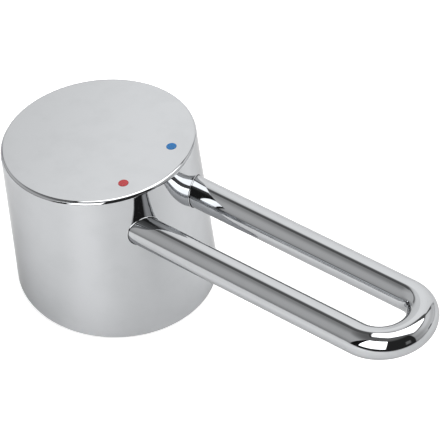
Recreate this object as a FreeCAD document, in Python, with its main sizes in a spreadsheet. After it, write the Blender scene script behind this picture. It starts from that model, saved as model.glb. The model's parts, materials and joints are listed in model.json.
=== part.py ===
import FreeCAD, Part
import math
import os
import re

import Sketcher

# Loop handle of a single-lever mixer tap.
# Every body is drawn upright about the axis of the cap, with the lever along +X. The rim is cut obliquely,
# and each body's Placement leans it back by that tilt, so that the handle stands on its rim at z = 0.

SIZES = {
    # Cap: heights run along its axis, from where the axis meets the rim plane
    "cap_height": 42.4,
    "top_diameter": 50.0,
    "rim_diameter": 52.0,
    "rim_tilt": 6.5,
    "top_edge_radius": 1.0,
    "rim_edge_chamfer": 0.3,
    "wall_thickness": 2.8,
    "top_thickness": 3.2,
    # Skirt: the machined bore that slides over the collar of the valve, and its lead-in at the rim
    "skirt_depth": 16.0,
    "lead_in_height": 1.0,
    "lead_in_step": 0.4,
    # Stem boss and its square socket
    "boss_wall": 2.2,
    "boss_length": 20.0,
    "stem_width": 8.0,
    "stem_clearance": 0.1,
    "socket_depth": 14.0,
    "socket_chamfer": 0.6,
    # Ribs under the top
    "rib_count": 6,
    "rib_thickness": 2.0,
    "rib_depth": 12.0,
    # Loop lever: a round bar bent to a U, its ends set into two lugs behind the wall. It rises a little from
    # square to the cap's axis; its reach and its root are measured along it from that axis
    "bar_diameter": 8.0,
    "leg_spacing": 19.0,
    "lever_reach": 93.5,
    "lever_drop": 12.8,
    "lever_rise": 1.5,
    "lever_root": 14.0,
    "bar_clearance": 0.08,
    "bar_end_chamfer": 0.5,
    "lug_wall": 2.4,
    "lug_floor": 2.0,
    # Hot and cold markers
    "marker_diameter": 2.6,
    "marker_depth": 0.8,
    "marker_rise": 0.1,
    "marker_clearance": 0.02,
    "marker_inset": 5.6,
    "marker_angle": 27.0,
    # Grub screw and the lug that carries it from the boss to the back wall
    "screw_diameter": 5.0,
    "screw_length": 8.0,
    "screw_rise": 6.0,
    "screw_clearance": 0.05,
    "screw_setback": 0.2,
    "screw_chamfer": 0.5,
    "screw_lug_wall": 2.0,
    "hex_width": 2.5,
    "hex_depth": 2.8,
}

# Heights and radii that several features share
UNDERSIDE = "(cap_height - top_thickness)"
BOSS_END = f"({UNDERSIDE} - boss_length)"
LEVER_HEIGHT = "(cap_height - lever_drop)"
ROOT_HEIGHT = f"({LEVER_HEIGHT} + lever_root * sin(lever_rise))"
SCREW_HEIGHT = f"({BOSS_END} + screw_rise)"
TOP_RADIUS = "(top_diameter / 2)"
RIM_RADIUS = "(rim_diameter / 2)"
WALL_SLOPE = "((rim_diameter - top_diameter) / 2 / cap_height)"
RIM_RISE = "(rim_diameter / 2 * tan(rim_tilt))"
BLANK_FOOT = f"(-2 * {RIM_RISE})"
BORE_RADIUS = f"({RIM_RADIUS} - wall_thickness)"
LEAD_IN_TOP = f"({RIM_RISE} + lead_in_height)"
SOCKET_HALF = "(stem_width / 2 + stem_clearance)"
BOSS_DIAMETER = f"(2 * ({SOCKET_HALF} * sqrt(2) + boss_wall))"
BAR_HOLE = "(bar_diameter + 2 * bar_clearance)"
SCREW_HOLE = "(screw_diameter + 2 * screw_clearance)"
MID_TOP = "(cap_height - top_thickness / 2)"
MARKER_X = f"(({TOP_RADIUS} - marker_inset) * cos(marker_angle))"
MARKER_Y = f"(({TOP_RADIUS} - marker_inset) * sin(marker_angle))"
HEX_CORNER = "(hex_width / 2 / cos(30))"
SCREW_TIP = f"({SOCKET_HALF} + screw_setback)"

doc = FreeCAD.newDocument("LoopHandle")
sheet = doc.addObject("Spreadsheet::Sheet", "Sizes")
for row, (alias, size) in enumerate(SIZES.items(), start=1):
    sheet.set(f"A{row}", alias)
    sheet.set(f"B{row}", str(size))
    sheet.setAlias(f"B{row}", alias)
doc.recompute()


def formula(text):
    """The text with each size's name written as a reference to its cell."""
    return re.sub(r"[a-z_]+", lambda word: f"Sizes.{word[0]}" if word[0] in SIZES else word[0], text)


def value(text):
    return float(sheet.evalExpression(formula(text)))


def new_body(name):
    body = doc.addObject("PartDesign::Body", name)
    body.Label = name
    lean = FreeCAD.Rotation(FreeCAD.Vector(0, -1, 0), value("rim_tilt"))
    body.Placement = FreeCAD.Placement(FreeCAD.Vector(), lean)
    body.setExpression("Placement.Rotation.Angle", formula("rim_tilt"))
    return body


def new_sketch(body, name, plane, offset="0"):
    """A sketch on one of the body's own origin planes, moved along that plane's normal."""
    sketch = body.newObject("Sketcher::SketchObject", name)
    role = next(part for part in body.Origin.OriginFeatures if part.Role == plane)
    sketch.AttachmentSupport = [(role, "")]
    sketch.MapMode = "FlatFace"
    sketch.setExpression("AttachmentOffset.Base.z", formula(offset))
    return sketch


def tip(sketch, axis):
    """Turn a sketch about an axis of its own, so that it follows the rise of the lever."""
    turn = FreeCAD.Rotation(axis, value("lever_rise"))
    sketch.AttachmentOffset = FreeCAD.Placement(sketch.AttachmentOffset.Base, turn)
    sketch.setExpression("AttachmentOffset.Rotation.Angle", formula("lever_rise"))


def new_bar_section(body, name):
    """A sketch square across the legs at their root, level with their middles."""
    sketch = new_sketch(body, name, "YZ_Plane", "lever_root * cos(lever_rise)")
    sketch.setExpression("AttachmentOffset.Base.y", formula(ROOT_HEIGHT))
    tip(sketch, FreeCAD.Vector(-1, 0, 0))
    return sketch


def bind(sketch, constraint, text):
    index = sketch.addConstraint(constraint)
    sketch.setExpression(f"Constraints[{index}]", formula(text))


def pin(sketch, geometry, point, x, y):
    """Hold a point of the sketch at the formulas x and y from the origin."""
    for kind, text in (("DistanceX", x), ("DistanceY", y)):
        bind(sketch, Sketcher.Constraint(kind, -1, 1, geometry, point, value(text)), text)


def draw_polygon(sketch, corners):
    points = [FreeCAD.Vector(value(x), value(y), 0) for x, y in corners]
    sides = [sketch.addGeometry(Part.LineSegment(points[i - 1], points[i])) for i in range(len(points))]
    for i, side in enumerate(sides):
        sketch.addConstraint(Sketcher.Constraint("Coincident", sides[i - 1], 2, side, 1))
        pin(sketch, side, 2, *corners[i])


def draw_circle(sketch, x, y, diameter):
    circle = Part.Circle(FreeCAD.Vector(value(x), value(y), 0), FreeCAD.Vector(0, 0, 1), value(diameter) / 2)
    index = sketch.addGeometry(circle)
    pin(sketch, index, 3, x, y)
    bind(sketch, Sketcher.Constraint("Diameter", index, value(diameter)), diameter)


def draw_arch(sketch, x, height, width, top):
    """An outline with upright sides, square at the top and half round below, about the point x, height."""
    left, right = f"{x} - {width} / 2", f"{x} + {width} / 2"
    corners = [(right, height), (right, top), (left, top), (left, height)]
    points = [FreeCAD.Vector(value(a), value(b), 0) for a, b in corners]
    sides = [sketch.addGeometry(Part.LineSegment(points[i], points[i + 1])) for i in range(3)]
    centre = FreeCAD.Vector(value(x), value(height), 0)
    circle = Part.Circle(centre, FreeCAD.Vector(0, 0, 1), value(width) / 2)
    arc = sketch.addGeometry(Part.ArcOfCircle(circle, math.pi, 2 * math.pi))
    sketch.addConstraint(Sketcher.Constraint("Coincident", sides[0], 2, sides[1], 1))
    sketch.addConstraint(Sketcher.Constraint("Coincident", sides[1], 2, sides[2], 1))
    sketch.addConstraint(Sketcher.Constraint("Tangent", sides[2], 2, arc, 1))
    sketch.addConstraint(Sketcher.Constraint("Tangent", arc, 2, sides[0], 1))
    pin(sketch, arc, 3, x, height)
    pin(sketch, sides[0], 2, right, top)
    pin(sketch, sides[1], 2, left, top)
    bind(sketch, Sketcher.Constraint("Diameter", arc, value(width)), width)


def new_feature(body, kind, name, sketch, length=None, reverse=False):
    """A feature made from a sketch, checked to add material or, for a cut, to take some away."""
    doc.recompute()
    before = body.Shape.Volume if body.Tip else 0.0
    feature = body.newObject(f"PartDesign::{kind}", name)
    feature.Profile = sketch
    feature.Reversed = reverse
    if length:
        feature.setExpression("Length", formula(length))
    else:
        feature.ReferenceAxis = (sketch, ["V_Axis"])
        feature.Angle = 360
    doc.recompute()
    change = feature.Shape.Volume - before
    if change * (-1 if kind in ("Pocket", "Groove") else 1) <= 0:
        raise RuntimeError(f"{name} does not change its body as it should")
    return feature


def dress(body, kind, name, chosen, setting, text):
    """A fillet or chamfer on the edges of the body's last feature that the test chooses."""
    base = body.Tip
    edges = [f"Edge{i}" for i, edge in enumerate(base.Shape.Edges, start=1) if chosen(edge)]
    if not edges:
        raise RuntimeError(f"{name} finds no edge")
    feature = body.newObject(f"PartDesign::{kind}", name)
    feature.Base = (base, edges)
    feature.setExpression(setting, formula(text))
    doc.recompute()
    return feature


def at_height(edge, text):
    """Whether the whole edge lies at this height in its body."""
    box = edge.BoundBox
    return abs(box.ZMin - value(text)) < 1e-3 and abs(box.ZMax - value(text)) < 1e-3


def on_rim(edge):
    """Whether the edge is the outer one of the oblique rim."""
    points = [vertex.Point for vertex in edge.Vertexes]
    slope = value("tan(rim_tilt)")
    mid_wall = value(f"{BORE_RADIUS} + wall_thickness / 2")
    return all(
        abs(point.z + point.x * slope) < 1e-3 and math.hypot(point.x, point.y) > mid_wall
        for point in points
    )


def wall_radius(height):
    """Formula for the outer radius of the drafted wall at a height."""
    return f"({RIM_RADIUS} - {WALL_SLOPE} * {height})"


def build_cap():
    body = new_body("handle_cap")

    # The blank: a thick-walled cup with the machined skirt bore below and the cast hollow above
    cup = new_sketch(body, "CupOutline", "XZ_Plane")
    draw_polygon(cup, [
        ("0", UNDERSIDE),
        (f"{wall_radius(UNDERSIDE)} - wall_thickness", UNDERSIDE),
        (f"{wall_radius('skirt_depth')} - wall_thickness", "skirt_depth"),
        (BORE_RADIUS, "skirt_depth"),
        (BORE_RADIUS, LEAD_IN_TOP),
        (f"{BORE_RADIUS} + lead_in_step", LEAD_IN_TOP),
        (f"{BORE_RADIUS} + lead_in_step", BLANK_FOOT),
        (f"{RIM_RADIUS} + wall_thickness", BLANK_FOOT),
        (f"{RIM_RADIUS} + wall_thickness", "cap_height"),
        ("0", "cap_height"),
    ])
    new_feature(body, "Revolution", "Cup", cup)

    # What stands inside: stem boss, ribs, the two lugs for the bar and the lug for the screw
    boss = new_sketch(body, "BossOutline", "XY_Plane", MID_TOP)
    draw_circle(boss, "0", "0", BOSS_DIAMETER)
    new_feature(body, "Pad", "StemBoss", boss, "boss_length + top_thickness / 2", reverse=True)

    rib = new_sketch(body, "RibOutline", "XY_Plane", MID_TOP)
    draw_polygon(rib, [
        (f"-{BOSS_DIAMETER} / 4", "-rib_thickness / 2"),
        (f"-{BOSS_DIAMETER} / 4", "rib_thickness / 2"),
        (f"-{RIM_RADIUS}", "rib_thickness / 2"),
        (f"-{RIM_RADIUS}", "-rib_thickness / 2"),
    ])
    first_rib = new_feature(body, "Pad", "FirstRib", rib, "rib_depth + top_thickness / 2", reverse=True)
    ribs = body.newObject("PartDesign::PolarPattern", "Ribs")
    ribs.Originals = [first_rib]
    ribs.Axis = (rib, ["N_Axis"])
    ribs.Angle = 360
    ribs.setExpression("Occurrences", formula("rib_count"))
    body.Tip = ribs

    for name, side in (("Near", "-"), ("Far", "")):
        lug = new_sketch(body, f"{name}LugOutline", "YZ_Plane", "lever_root - lug_floor")
        draw_arch(lug, f"{side}leg_spacing / 2", ROOT_HEIGHT, f"({BAR_HOLE} + 2 * lug_wall)", MID_TOP)
        new_feature(body, "Pad", f"{name}BarLug", lug, f"{RIM_RADIUS} - lever_root + lug_floor")
    screw_lug = new_sketch(body, "ScrewLugOutline", "YZ_Plane")
    draw_arch(screw_lug, "0", SCREW_HEIGHT, f"({SCREW_HOLE} + 2 * screw_lug_wall)", MID_TOP)
    new_feature(body, "Pad", "ScrewLug", screw_lug, RIM_RADIUS, reverse=True)

    # The outside, turned to the drafted wall, with its rounded top edge
    stock = new_sketch(body, "StockOutline", "XZ_Plane")
    draw_polygon(stock, [
        (wall_radius(BLANK_FOOT), BLANK_FOOT),
        ("rim_diameter", BLANK_FOOT),
        ("rim_diameter", "cap_height"),
        (TOP_RADIUS, "cap_height"),
    ])
    new_feature(body, "Groove", "TurnedWall", stock)

    def at_top(edge):
        return at_height(edge, "cap_height")

    dress(body, "Fillet", "TopEdge", at_top, "Radius", "top_edge_radius")

    # The oblique rim
    wedge = new_sketch(body, "RimOutline", "XZ_Plane")
    draw_polygon(wedge, [
        ("-rim_diameter", "rim_diameter * tan(rim_tilt)"),
        ("rim_diameter", "-rim_diameter * tan(rim_tilt)"),
        ("rim_diameter", "-rim_diameter"),
        ("-rim_diameter", "-rim_diameter"),
    ])
    cut = new_feature(body, "Pocket", "ObliqueRim", wedge, "2 * rim_diameter")
    cut.SideType = "Symmetric"
    doc.recompute()
    dress(body, "Chamfer", "RimEdge", on_rim, "Size", "rim_edge_chamfer")

    # The stem socket, the bar's two holes, the screw hole and the marker recesses
    socket = new_sketch(body, "SocketOutline", "XY_Plane", BOSS_END)
    quarters = (("-", "-"), ("", "-"), ("", ""), ("-", ""))
    draw_polygon(socket, [(f"{a}{SOCKET_HALF}", f"{b}{SOCKET_HALF}") for a, b in quarters])
    new_feature(body, "Pocket", "StemSocket", socket, "socket_depth", reverse=True)

    def at_mouth(edge):
        return at_height(edge, BOSS_END) and isinstance(edge.Curve, Part.Line)

    dress(body, "Chamfer", "SocketMouth", at_mouth, "Size", "socket_chamfer")

    bores = new_bar_section(body, "BarHoles")
    recesses = new_sketch(body, "MarkerRecesses", "XY_Plane", "cap_height")
    for side in ("-", ""):
        draw_circle(bores, f"{side}leg_spacing / 2", "0", BAR_HOLE)
        draw_circle(recesses, MARKER_X, f"{side}{MARKER_Y}", "marker_diameter + 2 * marker_clearance")
    new_feature(body, "Pocket", "BarSockets", bores, "rim_diameter", reverse=True)
    new_feature(body, "Pocket", "Recesses", recesses, "marker_depth")

    hole = new_sketch(body, "ScrewHoleOutline", "YZ_Plane")
    draw_circle(hole, "0", SCREW_HEIGHT, SCREW_HOLE)
    new_feature(body, "Pocket", "ScrewHole", hole, "rim_diameter")
    return body


def build_lever():
    body = new_body("loop_lever")
    half = "leg_spacing / 2"
    path = new_sketch(body, "LoopPath", "XY_Plane", LEVER_HEIGHT)
    tip(path, FreeCAD.Vector(0, -1, 0))
    root, reach, spread = value("lever_root"), value("lever_reach"), value(half)
    bend = Part.Circle(FreeCAD.Vector(reach, 0, 0), FreeCAD.Vector(0, 0, 1), spread)
    corners = ((root, -spread), (reach, -spread), (reach, spread), (root, spread))
    ends = [FreeCAD.Vector(x, y, 0) for x, y in corners]
    near = path.addGeometry(Part.LineSegment(ends[0], ends[1]))
    turn = path.addGeometry(Part.ArcOfCircle(bend, -math.pi / 2, math.pi / 2))
    far = path.addGeometry(Part.LineSegment(ends[2], ends[3]))
    path.addConstraint(Sketcher.Constraint("Tangent", near, 2, turn, 1))
    path.addConstraint(Sketcher.Constraint("Tangent", turn, 2, far, 1))
    pin(path, near, 1, "lever_root", f"-{half}")
    pin(path, turn, 3, "lever_reach", "0")
    pin(path, far, 2, "lever_root", half)

    section = new_bar_section(body, "BarSection")
    draw_circle(section, f"-{half}", "0", "bar_diameter")
    doc.recompute()
    bar = body.newObject("PartDesign::AdditivePipe", "BentBar")
    bar.Profile = section
    bar.Spine = (path, [f"Edge{i}" for i in (1, 2, 3)])
    doc.recompute()

    def bar_end(edge):
        along = section.Placement.Rotation.multVec(FreeCAD.Vector(0, 0, 1))
        points = [vertex.Point for vertex in edge.Vertexes]
        return all(abs((point - section.Placement.Base).dot(along)) < 1e-3 for point in points)

    dress(body, "Chamfer", "BarEnds", bar_end, "Size", "bar_end_chamfer")
    return body


def build_marker(name, side):
    body = new_body(name)
    disc = new_sketch(body, "DiscOutline", "XY_Plane", "cap_height - marker_depth")
    draw_circle(disc, MARKER_X, f"{side}{MARKER_Y}", "marker_diameter")
    new_feature(body, "Pad", "Disc", disc, "marker_depth + marker_rise")

    def at_face(edge):
        return at_height(edge, "cap_height + marker_rise")

    dress(body, "Chamfer", "DiscEdge", at_face, "Size", "marker_rise")
    return body


def build_screw():
    body = new_body("grub_screw")
    shank = new_sketch(body, "ShankOutline", "YZ_Plane", f"-{SCREW_TIP}")
    draw_circle(shank, "0", SCREW_HEIGHT, "screw_diameter")
    new_feature(body, "Pad", "Shank", shank, "screw_length", reverse=True)

    def is_round(edge):
        return isinstance(edge.Curve, Part.Circle)

    dress(body, "Chamfer", "Points", is_round, "Size", "screw_chamfer")

    hexagon = new_sketch(body, "HexOutline", "YZ_Plane", f"-{SCREW_TIP} - screw_length")
    draw_polygon(hexagon, [
        (f"{HEX_CORNER} * sin({angle})", f"{SCREW_HEIGHT} + {HEX_CORNER} * cos({angle})")
        for angle in range(0, 360, 60)
    ])
    new_feature(body, "Pocket", "HexSocket", hexagon, "hex_depth", reverse=True)
    return body


bodies = [
    build_cap(),
    build_lever(),
    build_marker("hot_marker", "-"),
    build_marker("cold_marker", ""),
    build_screw(),
]
doc.recompute()

for item in doc.Objects:
    if "Invalid" in item.State or "Error" in item.State:
        raise RuntimeError(f"{item.Name} failed: {item.State}")
for body in bodies:
    if body.Shape.isNull() or not body.Shape.isValid() or len(body.Shape.Solids) != 1:
        raise RuntimeError(f"{body.Label} has no sound solid")

os.makedirs("parts", exist_ok=True)
for body in bodies:
    body.Shape.exportStep(f"parts/{body.Label}.step")
    print(body.Label, round(body.Shape.Volume, 1), body.Shape.BoundBox)
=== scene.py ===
import json
import math

import bmesh
import bpy
from bpy.props import FloatProperty, FloatVectorProperty, IntProperty, PointerProperty
from mathutils import Matrix, Vector

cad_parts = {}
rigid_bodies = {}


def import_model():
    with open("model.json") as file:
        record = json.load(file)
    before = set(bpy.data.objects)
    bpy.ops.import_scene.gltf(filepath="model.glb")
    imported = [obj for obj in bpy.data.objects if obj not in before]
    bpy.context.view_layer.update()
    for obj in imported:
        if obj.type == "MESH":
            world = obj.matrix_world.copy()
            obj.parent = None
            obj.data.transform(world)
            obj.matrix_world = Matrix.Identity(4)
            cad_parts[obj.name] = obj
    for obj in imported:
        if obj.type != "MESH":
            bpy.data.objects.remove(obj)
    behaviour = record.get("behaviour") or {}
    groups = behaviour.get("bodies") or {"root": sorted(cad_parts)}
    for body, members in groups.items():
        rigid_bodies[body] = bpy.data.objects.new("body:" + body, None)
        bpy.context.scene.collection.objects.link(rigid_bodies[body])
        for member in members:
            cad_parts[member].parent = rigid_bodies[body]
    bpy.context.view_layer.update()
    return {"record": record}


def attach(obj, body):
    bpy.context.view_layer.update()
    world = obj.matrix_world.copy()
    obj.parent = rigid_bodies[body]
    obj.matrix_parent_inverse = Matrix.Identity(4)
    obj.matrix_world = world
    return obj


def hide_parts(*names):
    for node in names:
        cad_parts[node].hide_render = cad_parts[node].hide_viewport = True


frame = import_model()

bl_info = {
    "name": "Loop Tap Handle",
    "version": (1, 0, 0),
    "blender": (4, 5, 0),
    "location": "View3D > Sidebar > Tap Handle",
    "description": "Chromed mixer handle with a loop lever, hot and cold marks and a grub screw",
    "category": "Add Mesh",
}

BORE = next(mount for mount in frame["record"]["mounts"] if mount["name"] == "skirt_bore")
TILT = math.asin(BORE["axis"][0])

# Pieces are drawn upright about the cap's axis in millimetres, then leaned onto the rim in metres
LEAN = Matrix.Rotation(-TILT, 4, "Y") @ Matrix.Scale(0.001, 4)

# Millimetres within which a point lies on a cutting plane, is merged with another or lies on a face,
# and beyond which it is clear of that face
ON_PLANE = 1e-5
MERGE = 1e-4
NEAR = 1e-3
CLEAR = 0.1

# Millimetres that cutting solids stand out past what they cut: plainly, over a recess, from the wall
PAST = 1
RECESS_CUT = 2
WELL_PAST = 4

# Millimetres from the highest point of the rim up to the step of the lead-in
LEAD_IN_RISE = 1

# Rounds in which the distance to the slanting wall is found
WALL_ROUNDS = 6

# Clearances of the marks in their recesses and of the thread in its hole, in millimetres
MARK_GAP = 0.02
SCREW_GAP = 0.05

# Finishes of the cap's faces
POLISHED = 0
CAST = 1

# The hot side and the cold side
SIDES = (-1, 1)

# Faces around round forms and along rounded edges
BOSS_STEPS = 96
LUG_STEPS = 64
RECESS_STEPS = 48
MARK_STEPS = 64
SCREW_STEPS = 64
THREAD_STEPS = 32
BEND_STEPS = 128
TOP_EDGE_STEPS = 12
RIM_EDGE_STEPS = 3
MARK_EDGE_STEPS = 4
CHAMFER = 1

# The polished bead: degrees between its rings and their number,
# and the millimetres that its toe and its foot sink in
BEAD_ANGLE = 13
BEAD_RINGS = 7
BEAD_TOE = 0.01
BEAD_FOOT = 2

# The chamfer of the bar's ends in millimetres
BAR_END = 0.5

# The thread's depth and the two edges of its crest, as shares of the pitch
THREAD_DEPTH = 0.5
CREST = (0.44, 0.56)

# Turns of thread to cut off, millimetres of the blank around the thread, and sides of the key
SPARE_TURNS = 2
BLANK_SPARE = 0.01
KEY_SIDES = 6

# The floor and the table in metres, and the black card's thickness
FLOOR_CELLS = 8
FLOOR_HALF = 1.5
FLOOR_LEVEL = -0.0001
TABLE_BACK = 0.8
TABLE_UNDER = -0.01
TABLE_LEVEL = -0.00005
CARD_THICK = 0.002

# Brightness of the soft boxes
SOFT_BOX = 3.4

# The lamp over the table behind, in metres
TABLE_LAMP_SIZE = 0.15
TABLE_LAMP_PLACE = (-0.12, 0.12, 0.15)

# The lamp for the bar: a metre from the bend in this direction, raised, in metres
BAR_LAMP_AZIMUTH = math.radians(-73.2)
BAR_LAMP_WIDTH = 0.95
BAR_LAMP_HEIGHT = 0.46
BAR_LAMP_RISE = 1.225
BEND = (0.093, -0.012, 0.045)
BAR_ONLY = "bar_only"

# The camera's film in millimetres, and the nearest thing it sees in metres
SENSOR_WIDTH = 36
NEAREST_SEEN = 0.01


def length(name, millimetres, description):
    return FloatProperty(
        name=name, description=description, default=millimetres / 1000, min=0, unit="LENGTH",
        subtype="DISTANCE", precision=5,
    )


def angle(name, degrees, description):
    return FloatProperty(
        name=name, description=description, default=math.radians(degrees), unit="ROTATION",
        subtype="ANGLE",
    )


def colour(name, rgb, description):
    return FloatVectorProperty(
        name=name, description=description, default=rgb, size=3, min=0, max=1, subtype="COLOR",
    )


def point(name, metres, description):
    return FloatVectorProperty(
        name=name, description=description, default=metres, size=3, unit="LENGTH", subtype="XYZ",
    )


def power(name, watts, description):
    return FloatProperty(name=name, description=description, default=watts, min=0, unit="POWER")


def brightness(name, strength, description):
    return FloatProperty(name=name, description=description, default=strength, min=0)


class CapSizes(bpy.types.PropertyGroup):
    height: length("Height", 42.4, "Height of the cap along its axis, above the middle of the rim")
    top: length("Top", 50, "Diameter of the flat top")
    rim: length("Rim", 52, "Diameter of the wall at the middle of the rim")
    top_edge: length("Top edge", 1.0, "Radius of the rounded edge of the top")
    rim_edge: length("Rim edge", 0.3, "Width of the broken edge of the rim")
    wall: length("Wall", 2.8, "Thickness of the wall")
    deck: length("Deck", 3.2, "Thickness of the top")
    skirt: length("Skirt", 16, "Height of the machined bore")
    lead_in: length("Lead-in", 0.4, "Step of the lead-in at the rim")
    boss: length("Boss", 16, "Diameter of the stem boss")
    boss_end: length("Boss end", 19.2, "Height of the lower end of the stem boss")
    socket: length("Socket", 8.2, "Width of the square socket")
    socket_depth: length("Socket depth", 14, "Depth of the square socket")
    socket_edge: length("Socket edge", 0.6, "Width of the broken edge of the square socket")
    rib: length("Rib", 2, "Thickness of the ribs")
    rib_depth: length("Rib depth", 12, "Depth of the ribs below the top")
    lug: length("Lug", 12.96, "Width of the lugs that hold the bar")
    lug_floor: length("Lug floor", 2, "Thickness of the lugs behind the ends of the bar")
    screw_lug: length("Screw lug", 9.1, "Width of the lug that holds the screw")
    steps: IntProperty(name="Steps", description="Faces around the cap", default=256, min=32)


class LoopSizes(bpy.types.PropertyGroup):
    bar: length("Bar", 8, "Diameter of the bar")
    spacing: length("Spacing", 19, "Distance between the middles of the legs")
    reach: length("Reach", 93.5, "Distance along the legs from the cap's axis to the bend's middle")
    height: length("Height", 29.6, "Height where the middle of the legs would meet the cap's axis")
    rise: angle("Rise", 1.5, "Slope of the legs, up from square to the cap's axis")
    root: length("Root", 14, "Distance along the legs from the cap's axis to the ends of the bar")
    gap: length("Gap", 0.14, "Clearance around the bar in its hole")
    bead: length("Bead", 0.2, "Radius of the polished bead where a leg enters the wall")
    steps: IntProperty(name="Steps", description="Faces around the bar", default=96, min=16)


class MarkSizes(bpy.types.PropertyGroup):
    diameter: length("Diameter", 2.6, "Diameter of a mark")
    depth: length("Depth", 0.8, "Depth of a mark's recess")
    rise: length("Rise", 0.1, "Height of a mark above the top")
    along: length("Along", 17.285, "Distance of the marks from the axis, towards the lever")
    aside: length("Aside", 8.807, "Distance of each mark from the plane of symmetry")


class ScrewSizes(bpy.types.PropertyGroup):
    diameter: length("Diameter", 5, "Outer diameter of the thread")
    pitch: length("Pitch", 0.8, "Distance between turns of the thread")
    tip: length("Tip", 4.3, "Distance of the screw's tip from the cap's axis")
    length: length("Length", 8, "Length of the screw")
    height: length("Height", 25.2, "Height of the screw along the cap's axis")
    point: length("Point", 0.5, "Width of the chamfer at each end")
    key: length("Key", 2.5, "Width of the hexagon socket")
    key_depth: length("Key depth", 2.8, "Depth of the hexagon socket")


class Finishes(bpy.types.PropertyGroup):
    chrome: colour("Chrome", (0.545, 0.556, 0.570), "Tint of the polished plating")
    cast: colour("Cast", (0.36, 0.36, 0.37), "Tint of the plain casting inside the cap")
    hot: colour("Hot", (0.393, 0.026, 0.032), "Enamel of the hot mark")
    cold: colour("Cold", (0.001, 0.120, 0.34), "Enamel of the cold mark")
    steel: colour("Steel", (0.34, 0.34, 0.35), "Tint of the grub screw")
    floor: colour("Floor", (0.90, 0.90, 0.90), "Colour of the floor")
    # The table's own colour, which add_table darkens with painted shade
    table: colour("Table", (0.693, 0.693, 0.693), "Colour of the table that the chrome mirrors")
    card: colour("Card", (0.012, 0.012, 0.012), "Colour of the black card that the chrome mirrors")


class Studio(bpy.types.PropertyGroup):
    azimuth: angle("Azimuth", 42.8280, "Direction of the camera around the handle")
    elevation: angle("Elevation", 44.8150, "Height of the camera above the horizon")
    roll: angle("Roll", -1.0641, "Roll of the camera")
    distance: length("Distance", 872.997, "Distance of the camera from its target")
    lens: FloatProperty(name="Lens", description="Focal length in millimetres", default=273.851, min=1)
    target: point("Target", (0.014389, 0.024072, 0.007923), "Point at the middle of the picture")
    table_front: length("Table front", 280, "Distance from the handle to the front edge of the table")
    table_side: length("Table side", 480, "Distance from the handle to the left edge of the table")
    table_turn: angle("Table turn", -30.6, "Direction of the table's front, from the lever")
    card_edge: point("Card edge", (0.034, -0.355, 0.02), "Foot of the right edge of the black card")
    card_width: length("Card width", 104, "Width of the black card at its foot")
    card_lean: length("Card lean", 60, "How far the left edge of the black card leans in")
    card_height: length("Card height", 520, "Height of the black card")
    glow: brightness("Glow", 0.40, "Light of the floor itself")
    # Strength of the table's painted glow, lightest close behind the handle
    table_glow: brightness("Table glow", 0.44, "Light of the table itself, close behind the handle")
    table_lamp: power("Table lamp", 0.22, "Power of the lamp over the table behind")
    bar_lamp: power("Bar lamp", 6.13088, "Power of the lamp that only the bar mirrors")


class Term:
    """A socket of a node tree. Arithmetic on it adds Math nodes to the tree."""

    def __init__(self, tree, socket=None):
        self.tree = tree
        self.socket = socket

    def add(self, kind, settings=None, sockets=None, out=0):
        """A new node of this type: first its settings, then the values or links of its sockets."""
        node = self.tree.nodes.new(kind)
        for name, setting in (settings or {}).items():
            if name == "stops":
                ramp = node.color_ramp
                for place, _ in setting[1:-1]:
                    ramp.elements.new(place)
                for element, (place, grey) in zip(ramp.elements, setting):
                    element.position = place
                    element.color = (grey, grey, grey, 1)
            else:
                setattr(node, name, setting)
        for name, source in (sockets or {}).items():
            if isinstance(source, Term):
                self.tree.links.new(source.socket, node.inputs[name])
            else:
                node.inputs[name].default_value = source
        return Term(self.tree, node.outputs[out] if node.outputs else None)

    def math(self, operation, *values):
        return self.add("ShaderNodeMath", {"operation": operation}, dict(enumerate(values)))

    def __add__(self, other):
        return self.math("ADD", self, other)

    def __sub__(self, other):
        return self.math("SUBTRACT", self, other)

    def __rsub__(self, other):
        return self.math("SUBTRACT", other, self)

    def __mul__(self, other):
        return self.math("MULTIPLY", self, other)

    def __truediv__(self, other):
        return self.math("DIVIDE", self, other)

    __radd__ = __add__
    __rmul__ = __mul__

    def step(self, low, high):
        """0 below low, 1 above high and a smooth rise between."""
        return self.add(
            "ShaderNodeMapRange", {"interpolation_type": "SMOOTHSTEP"},
            {"Value": self, "From Min": low, "From Max": high},
        )

    def within(self, low, high, soft):
        """1 between low and high, with soft edges."""
        return self.step(low - soft, low + soft) * (1 - self.step(high - soft, high + soft))

    def toward(self, other, share):
        """This value, moved to the other by a share of 0 to 1."""
        return self + (other - self) * share

    def noise(self, scale, detail=2.0):
        """Noise of this many cells to the metre, read on this vector."""
        return self.add("ShaderNodeTexNoise", None, {"Vector": self, "Scale": scale, "Detail": detail})

    def axis(self, name):
        """One coordinate of this vector."""
        return self.add("ShaderNodeSeparateXYZ", None, {"Vector": self}, out=name)


def new_material(name, shader):
    """A material from a function that takes a term with Object coordinates and gives a shader."""
    material = bpy.data.materials.new(name)
    material.use_nodes = True
    tree = material.node_tree
    tree.nodes.clear()
    place = Term(tree).add("ShaderNodeTexCoord", out="Object")
    place.add("ShaderNodeOutputMaterial", None, {"Surface": shader(place)})
    return material


def tinted(place, tint, mask, change):
    """The tint, darkened by a share of the mask."""
    dark = (channel * (1 - change) for channel in tint)
    return place.add("ShaderNodeMixRGB", None, {
        "Fac": mask,
        "Color1": (*tint, 1),
        "Color2": (*dark, 1),
    })


def bump(place, height, distance):
    return place.add("ShaderNodeBump", None, {"Height": height, "Strength": 1.0, "Distance": distance})


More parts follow.
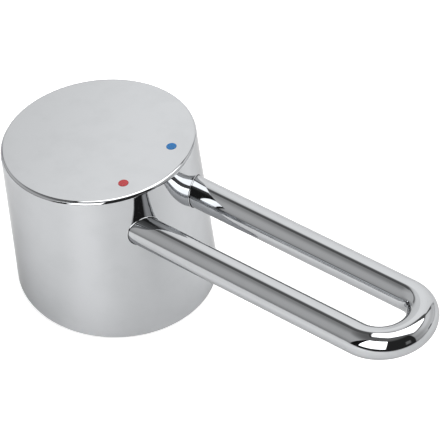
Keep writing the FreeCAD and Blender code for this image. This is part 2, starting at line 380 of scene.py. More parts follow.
def polished_chrome(tint):
    """Mirror plating with a faint haze where it was wiped and the slow swell of hand polishing."""

    def shader(place):
        haze = place.noise(scale=140.0, detail=4.0).step(0.42, 0.72)
        swell = place.noise(scale=55.0, detail=1.0)
        return place.add("ShaderNodeBsdfPrincipled", None, {
            "Base Color": tinted(place, tint, haze, 0.03),
            "Metallic": 1.0,
            "Specular Tint": (0.62, 0.62, 0.62, 1),
            "Roughness": 0.025 + haze * 0.02,
            "Normal": bump(place, swell, 0.00001),
        })

    return shader


def plain_casting(tint):
    """Plated but unpolished die casting, with the grain of its mould."""

    def shader(place):
        grain = place.noise(scale=2200.0, detail=3.0)
        flow = place.noise(scale=160.0, detail=3.0).step(0.35, 0.7)
        return place.add("ShaderNodeBsdfPrincipled", None, {
            "Base Color": tinted(place, tint, flow, 0.22),
            "Metallic": 1.0,
            "Roughness": 0.34 + flow * 0.14,
            "Normal": bump(place, grain, 0.00012),
        })

    return shader


def glossy_enamel(tint):
    """Fired enamel under a clear gloss, a little thinner in places."""

    def shader(place):
        cloud = place.noise(scale=1400.0)
        return place.add("ShaderNodeBsdfPrincipled", None, {
            "Base Color": tinted(place, tint, cloud, 0.25),
            "Roughness": 0.22 + cloud * 0.1,
            "Specular IOR Level": 0.3,
            "Coat Weight": 0.18,
            "Coat Roughness": 0.03,
            "Normal": bump(place, cloud, 0.00001),
        })

    return shader


def turned_steel(tint):
    """Oiled machine steel with the fine lines of turning."""

    def shader(place):
        lines = place.add(
            "ShaderNodeTexWave", {"wave_type": "BANDS", "bands_direction": "X"},
            {"Vector": place, "Scale": 900.0, "Distortion": 2.0, "Detail": 2.0},
        )
        stain = place.noise(scale=500.0, detail=3.0)
        return place.add("ShaderNodeBsdfPrincipled", None, {
            "Base Color": tinted(place, tint, stain, 0.35),
            "Metallic": 1.0,
            "Roughness": 0.28 + stain * 0.2,
            "Normal": bump(place, lines, 0.00001),
        })

    return shader


def mm(size):
    return size * 1000


def link(obj):
    bpy.context.scene.collection.objects.link(obj)
    return obj


def as_object(name, bm, materials):
    mesh = bpy.data.meshes.new(name)
    bm.to_mesh(mesh)
    bm.free()
    for material in materials:
        mesh.materials.append(material)
    return bpy.data.objects.new(name, mesh)


def once(parts):
    """These parts in their order, each of them once."""
    return list(dict.fromkeys(parts))


def edges_of(parts):
    return [part for part in parts if isinstance(part, bmesh.types.BMEdge)]


def open_edges(bm):
    return [edge for edge in bm.edges if edge.is_boundary]


def lies_at(axis, value):
    """A test of whether a point lies at this value of an axis."""
    return lambda place: abs(getattr(place, axis) - value) < NEAR


def round_edges(bm, chosen, width, segments):
    """Round the edges whose ends all pass the test, or chamfer them with one segment."""
    edges = [edge for edge in bm.edges if all(chosen(vert.co) for vert in edge.verts)]
    if not edges:
        raise RuntimeError("no edge to round")
    bmesh.ops.bevel(
        bm, geom=edges, offset=width, offset_type="OFFSET", affect="EDGES", segments=segments,
        profile=0.5, material=-1, clamp_overlap=True,
    )


def cut_flat(bm, place, normal, keep_ahead):
    """Cut a mesh along a plane and keep what lies ahead of it, or else what lies behind it."""
    bmesh.ops.bisect_plane(
        bm, geom=bm.verts[:] + bm.edges[:] + bm.faces[:], dist=ON_PLANE, plane_co=place,
        plane_no=normal, clear_inner=keep_ahead, clear_outer=not keep_ahead,
    )


def rod(start, end, radius, steps, finish=POLISHED):
    """A round solid from one point to another."""
    bm = bmesh.new()
    start, end = Vector(start), Vector(end)
    turn = (end - start).to_track_quat("Z", "Y").to_matrix().to_4x4()
    bmesh.ops.create_cone(
        bm, cap_ends=True, segments=steps, radius1=radius, radius2=radius, depth=(end - start).length,
        matrix=Matrix.Translation((start + end) / 2) @ turn,
    )
    for face in bm.faces:
        face.material_index = finish
    return bm


def block(low, high, turn=0.0, finish=POLISHED):
    """A square solid between two corners, turned about the upright axis."""
    bm = bmesh.new()
    low, high = Vector(low), Vector(high)
    shape = Matrix.Translation((low + high) / 2) @ Matrix.Diagonal((*(high - low), 1))
    bmesh.ops.create_cube(bm, size=1, matrix=shape)
    bmesh.ops.rotate(bm, cent=(0, 0, 0), matrix=Matrix.Rotation(turn, 3, "Z"), verts=bm.verts)
    for face in bm.faces:
        face.material_index = finish
    return bm


def spun(points, steps):
    """A solid of revolution about the cap's axis, from its outline of radius and height."""
    bm = bmesh.new()
    verts = [bm.verts.new((radius, 0, height)) for radius, height in points]
    edges = [bm.edges.new(pair) for pair in zip(verts, verts[1:])]
    bmesh.ops.spin(
        bm, geom=verts + edges, cent=(0, 0, 0), axis=(0, 0, 1), angle=math.tau, steps=steps,
        use_merge=True,
    )
    bmesh.ops.remove_doubles(bm, verts=bm.verts, dist=MERGE)
    bmesh.ops.recalc_face_normals(bm, faces=bm.faces)
    return bm


def work(obj, operation, tools):
    """Join these solids to an object, cut them out of it or trim it to them."""
    group = bpy.data.collections.new("tools")
    bpy.context.scene.collection.children.link(group)
    for bm in tools:
        group.objects.link(as_object("tool", bm, obj.data.materials))
    change = obj.modifiers.new("work", "BOOLEAN")
    change.operation = operation
    change.solver = "EXACT"
    change.material_mode = "INDEX"
    change.operand_type = "COLLECTION"
    change.collection = group
    before = obj.data
    worked = obj.evaluated_get(bpy.context.evaluated_depsgraph_get())
    obj.data = bpy.data.meshes.new_from_object(worked)
    obj.modifiers.clear()
    bpy.data.meshes.remove(before)
    for tool in list(group.objects):
        bpy.data.meshes.remove(tool.data)
    bpy.data.collections.remove(group)
    bm = bmesh.new()
    bm.from_mesh(obj.data)
    bmesh.ops.remove_doubles(bm, verts=bm.verts, dist=NEAR)
    bmesh.ops.dissolve_degenerate(bm, edges=bm.edges, dist=NEAR)
    bm.to_mesh(obj.data)
    bm.free()


def finish_piece(obj, node, slot, crease=40.0):
    """Lean a piece, smooth it between its creases and let it stand for its CAD node."""
    mesh = obj.data
    mesh.transform(LEAN)
    mesh.shade_smooth()
    mesh.set_sharp_from_angle(angle=math.radians(crease))
    weighted = obj.modifiers.new("even_shading", "WEIGHTED_NORMAL")
    weighted.keep_sharp = True
    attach(obj, "root")
    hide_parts(node)


def wall_radius(cap, level):
    """Outer radius of the drafted wall at a height."""
    rim, top = mm(cap.rim) / 2, mm(cap.top) / 2
    return rim - (rim - top) * level / mm(cap.height)


def to_wall(cap, place, ahead):
    """Distance from a point to the outside of the wall, straight ahead."""
    far = mm(cap.rim) / 2
    for _ in range(WALL_ROUNDS):
        level = place.z + ahead.z * far
        far = (math.sqrt(wall_radius(cap, level) ** 2 - place.y ** 2) - place.x) / ahead.x
    return far


def rim_rise(cap):
    """How far the oblique rim rises from the cap's axis to the outside."""
    return mm(cap.rim) / 2 * math.tan(TILT)


def uncut_foot(cap):
    """Height of the wall's lower end before the oblique rim is cut."""
    return -2 * rim_rise(cap)


def on_leg(loop, side, along):
    """Point on the middle of a leg, at a distance along it from the cap's axis."""
    height = mm(loop.height) + along * math.sin(loop.rise)
    return Vector((along * math.cos(loop.rise), side * mm(loop.spacing) / 2, height))


def bar_hole(loop):
    """Radius of the holes for the bar."""
    return mm(loop.bar) / 2 + mm(loop.gap)


def recess_floor(cap, marks, side):
    """Middle of the floor of a mark's recess."""
    return Vector((mm(marks.along), side * mm(marks.aside), mm(cap.height) - mm(marks.depth)))


def turned_cup(cap):
    """The cup, turned from its outline, plain inside and polished outside, with a rounded top edge."""
    height, top, wall = mm(cap.height), mm(cap.top) / 2, mm(cap.wall)
    under, skirt, foot = height - mm(cap.deck), mm(cap.skirt), uncut_foot(cap)
    bore = mm(cap.rim) / 2 - wall
    lead_in, lead_in_top = bore + mm(cap.lead_in), rim_rise(cap) + LEAD_IN_RISE
    bm = spun([
        (0, under),
        (wall_radius(cap, under) - wall, under),
        (wall_radius(cap, skirt) - wall, skirt),
        (bore, skirt),
        (bore, lead_in_top),
        (lead_in, lead_in_top),
        (lead_in, foot),
        (wall_radius(cap, foot), foot),
        (top, height),
        (0, height),
    ], cap.steps)
    for face in bm.faces:
        middle = face.calc_center_median()
        inside = middle.xy.length < wall_radius(cap, middle.z) - wall / 2
        face.material_index = CAST if inside and middle.z < height - CLEAR else POLISHED

    def on_top_edge(place):
        return abs(place.z - height) < NEAR and place.xy.length > top - CLEAR

    round_edges(bm, on_top_edge, mm(cap.top_edge), TOP_EDGE_STEPS)
    return bm


def cut_rim(bm, cap):
    """Cut the oblique rim, close it between its two loops and break its outer edge."""
    wall = mm(cap.wall)
    bore = mm(cap.rim) / 2 - wall
    up = Vector((math.sin(TILT), 0, math.cos(TILT)))
    cut_flat(bm, (0, 0, 0), up, keep_ahead=True)
    bmesh.ops.bridge_loops(bm, edges=open_edges(bm))
    bmesh.ops.recalc_face_normals(bm, faces=bm.faces)

    def on_rim_edge(place):
        return abs(place.dot(up)) < NEAR and place.xy.length > bore + wall / 2

    round_edges(bm, on_rim_edge, mm(cap.rim_edge), RIM_EDGE_STEPS)


def cast_lug(start, end, radius, top):
    """A lug of the casting from one point to another, half round below and carried up to the top."""
    bm = rod(start, end, radius, LUG_STEPS, CAST)
    level = start[2]
    upper = [vert for vert in bm.verts if vert.co.z > level + NEAR]
    bmesh.ops.translate(bm, vec=(0, 0, top - level), verts=upper)
    return bm


def cast_fittings(cap, loop, screw, materials):
    """Boss, ribs and lugs in one, trimmed in the middle of the deck and of the wall."""
    height, rim, wall = mm(cap.height), mm(cap.rim) / 2, mm(cap.wall)
    boss = rod((0, 0, mm(cap.boss_end)), (0, 0, height), mm(cap.boss) / 2, BOSS_STEPS, CAST)
    fittings = link(as_object("fittings", boss, materials))
    half, rib_end = mm(cap.rib) / 2, height - mm(cap.deck) - mm(cap.rib_depth)
    solids = [
        block((-rim, -half, rib_end), (rim, half, height), third * math.tau / 6, CAST)
        for third in range(3)
    ]
    for side in SIDES:
        root = on_leg(loop, side, mm(loop.root))
        inner = root - Vector((mm(cap.lug_floor), 0, 0))
        solids.append(cast_lug(inner, (rim, root.y, root.z), mm(cap.lug) / 2, height))
    level = mm(screw.height)
    solids.append(cast_lug((0, 0, level), (-rim, 0, level), mm(cap.screw_lug) / 2, height))
    work(fittings, "UNION", solids)
    foot, deck = uncut_foot(cap), height - mm(cap.deck) / 2
    core = [
        (0, foot),
        (wall_radius(cap, foot) - wall / 2, foot),
        (wall_radius(cap, deck) - wall / 2, deck),
        (0, deck),
    ]
    work(fittings, "INTERSECT", [spun(core, cap.steps)])
    bm = bmesh.new()
    bm.from_mesh(fittings.data)
    bpy.data.meshes.remove(fittings.data)
    return bm


def polished_bead(cap, loop, side):
    """Hollow fillet around a leg where it enters the wall, with its foot buried in the lug."""
    bm = bmesh.new()
    axle = on_leg(loop, side, 0)
    ahead = on_leg(loop, side, 1) - axle
    face = Matrix.Translation(axle) @ ahead.to_track_quat("Z", "Y").to_matrix().to_4x4()
    hole, bead = bar_hole(loop), mm(loop.bead)

    def ring(radius, along):
        verts = bmesh.ops.create_circle(bm, segments=loop.steps, radius=radius, matrix=face)["verts"]
        for vert in verts:
            vert.co += ahead * along(vert.co)
        return once(edge for vert in verts for edge in vert.link_edges)

    def proud(rise):
        return lambda place: to_wall(cap, place, ahead) + rise

    rings = [ring(hole + bead, lambda place: mm(loop.root) + BEAD_FOOT)]
    for step in range(BEAD_RINGS):
        turn = math.radians(BEAD_ANGLE * step)
        rise = bead * (1 - math.cos(turn)) - BEAD_TOE
        rings.append(ring(hole + bead * (1 - math.sin(turn)), proud(rise)))
    rings.append(ring(hole - PAST, proud(bead)))
    for inner, outer in zip(rings, rings[1:]):
        bmesh.ops.bridge_loops(bm, edges=inner + outer)
    bmesh.ops.holes_fill(bm, edges=open_edges(bm), sides=0)
    bmesh.ops.recalc_face_normals(bm, faces=bm.faces)
    return bm


def cap_cuts(cap, loop, marks, screw):
    """Stem socket with its broken edge, bar holes, recesses of the marks and the screw hole."""
    rim, half, mouth = mm(cap.rim) / 2, mm(cap.socket) / 2, mm(cap.boss_end)
    low = mouth - PAST
    socket = block((-half, -half, low), (half, half, mouth + mm(cap.socket_depth)), finish=CAST)
    wide, narrow = half + mm(cap.socket_edge) + PAST, half - CLEAR
    funnel = block((-wide, -wide, low), (wide, wide, low + wide - narrow), finish=CAST)
    upper = [vert for vert in funnel.verts if vert.co.z > mouth]
    bmesh.ops.scale(funnel, vec=(narrow / wide, narrow / wide, 1), verts=upper)
    cuts = [socket, funnel]
    for side in SIDES:
        root, outside = on_leg(loop, side, mm(loop.root)), on_leg(loop, side, rim + WELL_PAST)
        cuts.append(rod(root, outside, bar_hole(loop), loop.steps))
        recess = recess_floor(cap, marks, side)
        above = recess + Vector((0, 0, RECESS_CUT))
        cuts.append(rod(recess, above, mm(marks.diameter) / 2 + MARK_GAP, RECESS_STEPS))
    level, radius = mm(screw.height), mm(screw.diameter) / 2 + SCREW_GAP
    cuts.append(rod((0, 0, level), (-rim - WELL_PAST, 0, level), radius, SCREW_STEPS, CAST))
    return cuts


class TAPHANDLE_OT_cap(bpy.types.Operator):
    """Cast cap with its oblique rim, stem boss, ribs and lugs"""

    bl_idname = "tap_handle.cap"
    bl_label = "Cap"

    def execute(self, context):
        scene = context.scene
        sizes, loop, screw = scene.tap_cap, scene.tap_loop, scene.tap_screw
        tints = scene.tap_finishes
        materials = [
            new_material("polished_chrome", polished_chrome(tints.chrome)),
            new_material("plain_casting", plain_casting(tints.cast)),
        ]
        cup = turned_cup(sizes)
        cut_rim(cup, sizes)
        cap = link(as_object("cap_casting", cup, materials))
        fittings = cast_fittings(sizes, loop, screw, materials)
        beads = [polished_bead(sizes, loop, side) for side in SIDES]
        work(cap, "UNION", [fittings, *beads])
        work(cap, "DIFFERENCE", cap_cuts(sizes, loop, scene.tap_marks, screw))
        finish_piece(cap, "handle_cap", "chrome_cap")
        return {"FINISHED"}


def bent_bar(sizes):
    """A round bar drawn level: one leg, the bend and the other leg, with its ends chamfered."""
    height, root, reach = mm(sizes.height), mm(sizes.root), mm(sizes.reach)
    bm = bmesh.new()
    first_end = Matrix.Translation((root, -mm(sizes.spacing) / 2, height))
    turn = first_end @ Matrix.Rotation(math.pi / 2, 4, "Y")
    bmesh.ops.create_circle(bm, segments=sizes.steps, radius=mm(sizes.bar) / 2, matrix=turn)

    def draw_leg(edges, travel):
        made = bmesh.ops.extrude_edge_only(bm, edges=edges)["geom"]
        verts = [part for part in made if isinstance(part, bmesh.types.BMVert)]
        bmesh.ops.translate(bm, vec=(travel, 0, 0), verts=verts)
        return edges_of(made)

    at_bend = lies_at("x", reach)
    drawn = draw_leg(bm.edges[:], reach - root)
    ring = [edge for edge in drawn if all(at_bend(vert.co) for vert in edge.verts)]
    verts = once(vert for edge in ring for vert in edge.verts)
    bent = bmesh.ops.spin(
        bm, geom=verts + ring, cent=(reach, 0, height), axis=(0, 0, 1), angle=math.pi,
        steps=BEND_STEPS,
    )["geom_last"]
    draw_leg(edges_of(bent), root - reach)
    bmesh.ops.holes_fill(bm, edges=open_edges(bm), sides=0)
    bmesh.ops.remove_doubles(bm, verts=bm.verts, dist=MERGE)
    bmesh.ops.recalc_face_normals(bm, faces=bm.faces)
    round_edges(bm, lies_at("x", root), BAR_END, CHAMFER)
    return bm


class TAPHANDLE_OT_loop(bpy.types.Operator):
    """Round bar bent to a loop, its ends set in the cap"""

    bl_idname = "tap_handle.loop"
    bl_label = "Loop lever"

    def execute(self, context):
        sizes = context.scene.tap_loop
        tints = context.scene.tap_finishes
        bar = bent_bar(sizes)
        slope = Matrix.Rotation(-sizes.rise, 3, "Y")
        bmesh.ops.rotate(bar, cent=(0, 0, mm(sizes.height)), matrix=slope, verts=bar.verts)
        chrome = new_material("bar_chrome", polished_chrome(tints.chrome))
        loop = link(as_object("loop_bar", bar, [chrome]))
        bar_only().objects.link(loop)
        finish_piece(loop, "loop_lever", "chrome_bar")
        return {"FINISHED"}


class TAPHANDLE_OT_marks(bpy.types.Operator):
    """Hot and cold marks of enamel, set in the top"""

    bl_idname = "tap_handle.marks"
    bl_label = "Marks"

    def execute(self, context):
        cap = context.scene.tap_cap
        sizes = context.scene.tap_marks
        tints = context.scene.tap_finishes
        rise = mm(sizes.rise)
        face = Vector((0, 0, mm(sizes.depth) + rise))
        hot_side, cold_side = SIDES
        for name, side, slot, tint in (
            ("hot", hot_side, "red_enamel", tints.hot),
            ("cold", cold_side, "blue_enamel", tints.cold),
        ):
            recess = recess_floor(cap, sizes, side)
            disc = rod(recess, recess + face, mm(sizes.diameter) / 2, MARK_STEPS)
            round_edges(disc, lies_at("z", mm(cap.height) + rise), rise, MARK_EDGE_STEPS)
            enamel = new_material(f"{name}_enamel", glossy_enamel(tint))
            mark = link(as_object(f"{name}_mark_enamel", disc, [enamel]))
            finish_piece(mark, f"{name}_marker", slot)
        return {"FINISHED"}


def screw_ends(sizes):
    """Places of the screw's tip and of its outer end, behind the cap's axis."""
    tip = -mm(sizes.tip)
    return tip, tip - mm(sizes.length)


def thread(sizes):
    """A thread of enough turns, cut off at both ends of the screw."""
    radius, pitch, level = mm(sizes.diameter) / 2, mm(sizes.pitch), mm(sizes.height)
    tip, outer = screw_ends(sizes)
    valley = radius - THREAD_DEPTH * pitch
    crest_start, crest_end = CREST
    profile = [(0, valley), (crest_start * pitch, radius), (crest_end * pitch, radius), (pitch, valley)]
    bm = bmesh.new()
    verts = [bm.verts.new((tip + pitch - along, 0, level + high)) for along, high in profile]
    edges = [bm.edges.new(pair) for pair in zip(verts, verts[1:])]
    turns = math.ceil(mm(sizes.length) / pitch) + SPARE_TURNS
    bmesh.ops.spin(
        bm, geom=verts + edges, cent=(0, 0, level), axis=(-1, 0, 0), dvec=(-pitch / THREAD_STEPS, 0, 0),
        angle=math.tau * turns, steps=THREAD_STEPS * turns,
    )
    bmesh.ops.remove_doubles(bm, verts=bm.verts, dist=NEAR)
    cut_flat(bm, (tip, 0, level), (1, 0, 0), keep_ahead=False)
    cut_flat(bm, (outer, 0, level), (-1, 0, 0), keep_ahead=False)
    bmesh.ops.holes_fill(bm, edges=open_edges(bm), sides=0)
    bmesh.ops.recalc_face_normals(bm, faces=bm.faces)
    return bm


class TAPHANDLE_OT_screw(bpy.types.Operator):
    """Grub screw with its thread and hexagon socket"""

    bl_idname = "tap_handle.screw"
    bl_label = "Grub screw"

    def execute(self, context):
        sizes = context.scene.tap_screw
        tints = context.scene.tap_finishes
        level = mm(sizes.height)
        tip, outer = screw_ends(sizes)
        steel = new_material("turned_steel", turned_steel(tints.steel))
        screw = link(as_object("grub_screw_steel", thread(sizes), [steel]))
        blank_radius = mm(sizes.diameter) / 2 + BLANK_SPARE
        blank = rod((tip, 0, level), (outer, 0, level), blank_radius, SCREW_STEPS)
        for end in (tip, outer):
            round_edges(blank, lies_at("x", end), mm(sizes.point), CHAMFER)
        work(screw, "INTERSECT", [blank])
        corner = mm(sizes.key) / 2 / math.cos(math.pi / KEY_SIDES)
        socket_end = (outer + mm(sizes.key_depth), 0, level)
        work(screw, "DIFFERENCE", [rod((outer - PAST, 0, level), socket_end, corner, KEY_SIDES)])
        finish_piece(screw, "grub_screw", "screw_steel", crease=25.0)
        return {"FINISHED"}


def studio_light(place):
    """Brightness of the studio in each direction: soft boxes, backdrop, grey walls, dark room."""
    x, y, z = (place.axis(name) for name in "XYZ")
    azimuth = place.math("ARCTAN2", y, x) * math.degrees(1)
    elevation = place.math("ARCSINE", z) * math.degrees(1)
    turn_share = (azimuth + 180) / 360
    height_share = (elevation + 90) / 180

    def ramp(share, stops):
        return place.add("ShaderNodeValToRGB", {"stops": stops}, {"Fac": share})

    def by_height(stops):
        return ramp(height_share, [((degrees + 90) / 180, grey) for degrees, grey in stops])

    def by_turn(stops):
        return ramp(turn_share, [((degrees + 180) / 360, grey) for degrees, grey in stops])

    # Grey wall behind and to the left, brightest at a middle height
    light = by_height([
        (-90, 0.34), (-3, 0.38), (2, 0.40), (6, 0.46), (10, 0.53), (16, 0.58), (28, 0.61),
        (36, 0.60), (41, 0.53), (46, 0.385), (50, 0.30), (56, 0.22), (63, 0.17), (90, 0.17),
    ])
    left_wall = azimuth.step(165, 172) + 1 - azimuth.step(-170, -138)
    light = light.toward(0.69, left_wall * elevation.within(4, 34, 4))
    # Right wall, darker towards the camera and towards its foot, with a dark thing at its foot
    right_wall = by_turn([
        (-180, 0.5), (10, 0.52), (22, 0.60), (30, 0.66), (40, 0.84), (52, 0.94), (67, 1.0), (90, 0.97),
    ])
    right_wall = right_wall * by_height([
        (-90, 0.78), (0, 0.78), (6, 0.88), (14, 0.78), (22, 0.82), (30, 1.0), (90, 1.0),
    ])
    light = light.toward(right_wall, azimuth.within(11.5, 90, 2))
    light = light.toward(0.2, azimuth.within(43, 55, 1.5) * elevation.within(-2, 5, 1))
    # Grey gap above the right wall, and dark ones on both sides of the backdrop
    gap = 0.30 - azimuth.step(68, 84) * 0.18
    light = light.toward(gap, azimuth.within(10, 112, 3) * elevation.within(42, 75, 2))
    light = light.toward(0.12, azimuth.within(86, 92, 1.5) * elevation.within(20, 46, 3))
    light = light.toward(0.13, azimuth.within(150, 184, 3) * elevation.within(42, 72, 3))
    light = light.toward(0.13, azimuth.within(166.5, 173, 1.5) * elevation.within(10, 46, 4))
    # White backdrop, slanting back at one end and fading in a slanting line towards the other
    fade = azimuth - (place.math("MAXIMUM", elevation, 26.0) - 32) * 0.9
    backdrop = 1.08 + azimuth.step(87, 125) * 0.125 - fade.step(139.5, 144.5) * 0.215
    backdrop = backdrop - elevation.step(49.5, 53) * 0.26 - elevation.step(55, 60) * 0.12
    near_end = azimuth - elevation.step(38, 60) * 30
    far_end = azimuth + place.math("MAXIMUM", elevation - 35, 0.0)
    covered = near_end.step(91, 94) * (1 - far_end.step(158, 174)) * (1 - elevation.step(61, 67))
    light = light.toward(backdrop, covered)
    # Dark room beside the camera, dark around the main soft box, and a dim window in the room
    room = azimuth.within(-50, 11.5, 1.5) * (1 - elevation.step(48, 66))
    surround = azimuth.within(-101, -48, 2) * (1 - elevation.step(22, 52) * 0.6)
    light = light.toward(0.028, room).toward(0.03, surround * (1 - elevation.step(52, 58)))
    light = light.toward(0.22, azimuth.within(-9, 1, 2) * elevation.within(2, 21, 2))
    # Main soft box beside the camera, its lower and upper edges sloping, with a dim band along its top
    lower = elevation + (azimuth + 100) * 0.12
    upper = elevation + (azimuth + 90) * 0.15
    box = azimuth.within(-99.9, -47.5, 1) * lower.step(7.5, 9.5)
    light = light.toward(0.7, box * (1 - upper.step(54, 58)))
    light = light.toward(SOFT_BOX, box * (1 - upper.step(45, 48)))
    # Soft box overhead, with a dark edge, some of its corners cut off and one side slanting
    across, along = x / z, y / z
    corner = across + 0.41 + along * 0.58
    slant = place.math("MAXIMUM", across + 0.48 - along * 0.64, 0.29 - along)
    sides = (
        0.76 - across,
        0.98 - along,
        1.25 - across - along,
        slant,
        corner,
        along + 0.17,
        along + 0.265 - across * 0.82,
    )
    overhead = z.step(0.3, 0.4)
    edge = overhead * corner.within(-0.05, 0.0, 0.015) * along.within(-0.3, 0.12, 0.02)
    light = light.toward(0.04, edge)
    for side in sides:
        overhead = overhead * side.step(-0.02, 0.02)
    return light.toward(SOFT_BOX, overhead)


def bar_only():
    """The group of the one piece that the bar lamp lights."""
    return bpy.data.collections.get(BAR_ONLY) or bpy.data.collections.new(BAR_ONLY)


def camera_side(studio):
    """Level direction from the handle to the camera."""
    return Vector((math.sin(studio.azimuth), -math.cos(studio.azimuth), 0))


def only_mirrored(obj):
    """Stage furniture that shows in the chrome alone."""
    obj.visible_camera = False
    obj.visible_diffuse = False
    obj.visible_shadow = False


def add_floor(studio, tints):
    """A broad white floor for the camera, which the chrome does not mirror."""
    bm = bmesh.new()
    bmesh.ops.create_grid(bm, x_segments=FLOOR_CELLS, y_segments=FLOOR_CELLS, size=FLOOR_HALF)
    bmesh.ops.translate(bm, vec=(0, 0, FLOOR_LEVEL), verts=bm.verts)

    def pale(place):
        return place.add("ShaderNodeBsdfPrincipled", None, {
            "Base Color": tinted(place, tints.floor, place.noise(scale=3.0), 0.02),
            "Roughness": 0.6,
            "Emission Color": (1, 1, 1, 1),
            "Emission Strength": studio.glow,
        })

    floor = link(as_object("floor", bm, [new_material("pale_floor", pale)]))
    floor.visible_glossy = False


def add_table(studio, tints):
    """The table that the chrome mirrors, with painted shade at its front and left edges and on one side
    of the handle, painted light on the other side, and a painted glow that is lightest close behind.
    """
    front, left, turn = studio.table_front, studio.table_side, studio.table_turn
    low, high = (-TABLE_BACK, -left, TABLE_UNDER), (front, TABLE_BACK, TABLE_LEVEL)
    ahead = Vector((math.cos(turn), math.sin(turn)))
    nearer = camera_side(studio)

    def shaded(place):
        x, y = place.axis("X"), place.axis("Y")
        forward = x * ahead.x + y * ahead.y
        leftward = x * ahead.y - y * ahead.x
        # Painted shade: darker towards the front edge and towards the left edge
        painted_light = (1 - forward.step(front - 0.09, front)) * (1 - leftward.step(0.17, left) * 0.5)
        around = place.math("ARCTAN2", leftward, forward) * math.degrees(1)
        # Painted shade on one side of the handle and painted light on the other
        painted_light = painted_light * (0.897 + around.within(20, 50, 12) * 0.088 - around.within(-56, -20, 12) * 0.095)
        # Painted glow, lightest in a band close behind the handle: the table glows though it is no lamp
        painted_glow_behind = (x * nearer.x + y * nearer.y).within(-0.055, -0.009, 0.009)
        glow = painted_light * (0.75 + painted_glow_behind * 0.25)
        return place.add("ShaderNodeBsdfPrincipled", None, {
            "Base Color": tinted(place, tints.table, 1 - painted_light, 1.0),
            "Roughness": 0.6,
            "Emission Color": tinted(place, (1, 1, 1), 1 - glow, 1.0),
            "Emission Strength": studio.table_glow,
        })

    painted_light_table = new_material("painted_light_table", shaded)
    only_mirrored(link(as_object("table", block(low, high, turn), [painted_light_table])))


def add_card(studio, tints):
    """A black card close before the left end of the main soft box, its left edge leaning in."""
    foot = Vector(studio.card_edge)
    low = foot - Vector((studio.card_width, CARD_THICK, 0))
    high = foot + Vector((0, 0, studio.card_height))
    bm = block(low, high)
    middle = (low + high) / 2
    upper_left = [vert for vert in bm.verts if vert.co.x < middle.x and vert.co.z > middle.z]
    bmesh.ops.translate(bm, vec=(studio.card_lean, 0, 0), verts=upper_left)

    def black(place):
        return place.add("ShaderNodeBsdfPrincipled", None, {
            "Base Color": tinted(place, tints.card, place.noise(scale=60.0), 0.3),
            "Roughness": 0.9,
            "Specular IOR Level": 0.0,
        })

    only_mirrored(link(as_object("card", bm, [new_material("black_card", black)])))


def add_lamp(name, watts, place):
    """An area lamp that the camera does not see."""
    lamp = link(bpy.data.objects.new(name, bpy.data.lights.new(name, "AREA")))
    lamp.data.energy = watts
    lamp.location = place
    lamp.visible_camera = False
    return lamp


def add_lamps(studio):
    """A lamp low over the table, and the upper part of the main soft box for the bar alone."""
    table_lamp = add_lamp("table_lamp", studio.table_lamp, TABLE_LAMP_PLACE)
    table_lamp.data.size = TABLE_LAMP_SIZE
    table_lamp.visible_glossy = False
    aside = Vector((math.cos(BAR_LAMP_AZIMUTH), math.sin(BAR_LAMP_AZIMUTH), 0))
    place = Vector(BEND) + aside + Vector((0, 0, BAR_LAMP_RISE))
    bar_lamp = add_lamp("bar_lamp", studio.bar_lamp, place)
    bar_lamp.data.shape = "RECTANGLE"
    bar_lamp.data.size = BAR_LAMP_WIDTH
    bar_lamp.data.size_y = BAR_LAMP_HEIGHT
    bar_lamp.rotation_euler = aside.to_track_quat("Z", "Y").to_euler()
    bar_lamp.light_linking.receiver_collection = bar_only()


def add_world(scene):
    """The studio's light all around, plain white for the camera."""
    world = bpy.data.worlds.new("studio")
    scene.world = world
    world.use_nodes = True
    tree = world.node_tree
    tree.nodes.clear()
    place = Term(tree).add("ShaderNodeTexCoord", out="Generated")
    seen = place.add("ShaderNodeLightPath", out="Is Camera Ray")
    light = studio_light(place).toward(1.0, seen)
    glow = place.add("ShaderNodeBackground", None, {"Color": (1, 1, 1, 1), "Strength": light})
    place.add("ShaderNodeOutputWorld", None, {"Surface": glow})


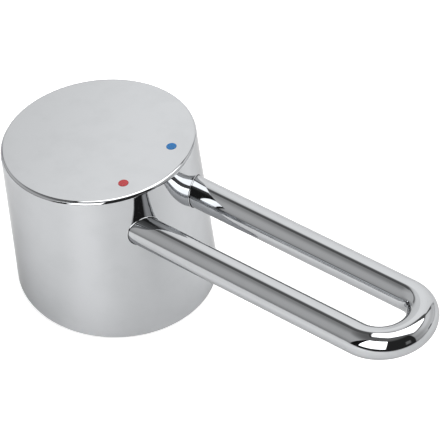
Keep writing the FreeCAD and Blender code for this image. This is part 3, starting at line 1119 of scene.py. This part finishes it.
def add_camera(scene, studio):
    camera = link(bpy.data.objects.new("camera", bpy.data.cameras.new("camera")))
    back = camera_side(studio) * math.cos(studio.elevation) + Vector((0, 0, math.sin(studio.elevation)))
    right = Vector((0, 0, 1)).cross(back).normalized()
    up = back.cross(right)
    roll = Matrix.Rotation(studio.roll, 3, back)
    axes = Matrix((roll @ right, roll @ up, back)).transposed().to_4x4()
    camera.matrix_world = Matrix.Translation(Vector(studio.target) + back * studio.distance) @ axes
    camera.data.lens = studio.lens
    camera.data.sensor_width = SENSOR_WIDTH
    camera.data.sensor_fit = "HORIZONTAL"
    camera.data.clip_start = NEAREST_SEEN
    scene.camera = camera


class TAPHANDLE_OT_stage(bpy.types.Operator):
    """Pale floor, mirrored table and card, soft studio light and the camera"""

    bl_idname = "tap_handle.stage"
    bl_label = "Stage"

    def execute(self, context):
        scene = context.scene
        studio = scene.tap_studio
        tints = scene.tap_finishes
        add_floor(studio, tints)
        add_table(studio, tints)
        add_card(studio, tints)
        add_lamps(studio)
        add_world(scene)
        add_camera(scene, studio)
        scene.view_settings.view_transform = "Standard"
        return {"FINISHED"}


STEPS = (
    TAPHANDLE_OT_stage,
    TAPHANDLE_OT_cap,
    TAPHANDLE_OT_loop,
    TAPHANDLE_OT_marks,
    TAPHANDLE_OT_screw,
)
GROUPS = {
    "tap_cap": CapSizes,
    "tap_loop": LoopSizes,
    "tap_marks": MarkSizes,
    "tap_screw": ScrewSizes,
    "tap_finishes": Finishes,
    "tap_studio": Studio,
}


class TAPHANDLE_PT_steps(bpy.types.Panel):
    bl_idname = "TAPHANDLE_PT_steps"
    bl_label = "Tap Handle"
    bl_space_type = "VIEW_3D"
    bl_region_type = "UI"
    bl_category = "Tap Handle"

    def draw(self, context):
        for step in STEPS:
            self.layout.operator(step.bl_idname)
        for name, group in GROUPS.items():
            box = self.layout.box()
            for setting in group.__annotations__:
                box.prop(getattr(context.scene, name), setting)


def register():
    for name, group in GROUPS.items():
        bpy.utils.register_class(group)
        setattr(bpy.types.Scene, name, PointerProperty(type=group))
    for step in STEPS:
        bpy.utils.register_class(step)
    bpy.utils.register_class(TAPHANDLE_PT_steps)


def unregister():
    bpy.utils.unregister_class(TAPHANDLE_PT_steps)
    for step in reversed(STEPS):
        bpy.utils.unregister_class(step)
    for name, group in GROUPS.items():
        delattr(bpy.types.Scene, name)
        bpy.utils.unregister_class(group)


def main():
    register()
    bpy.ops.tap_handle.stage()
    bpy.ops.tap_handle.cap()
    bpy.ops.tap_handle.loop()
    bpy.ops.tap_handle.marks()
    bpy.ops.tap_handle.screw()


if __name__ == "__main__":
    main()
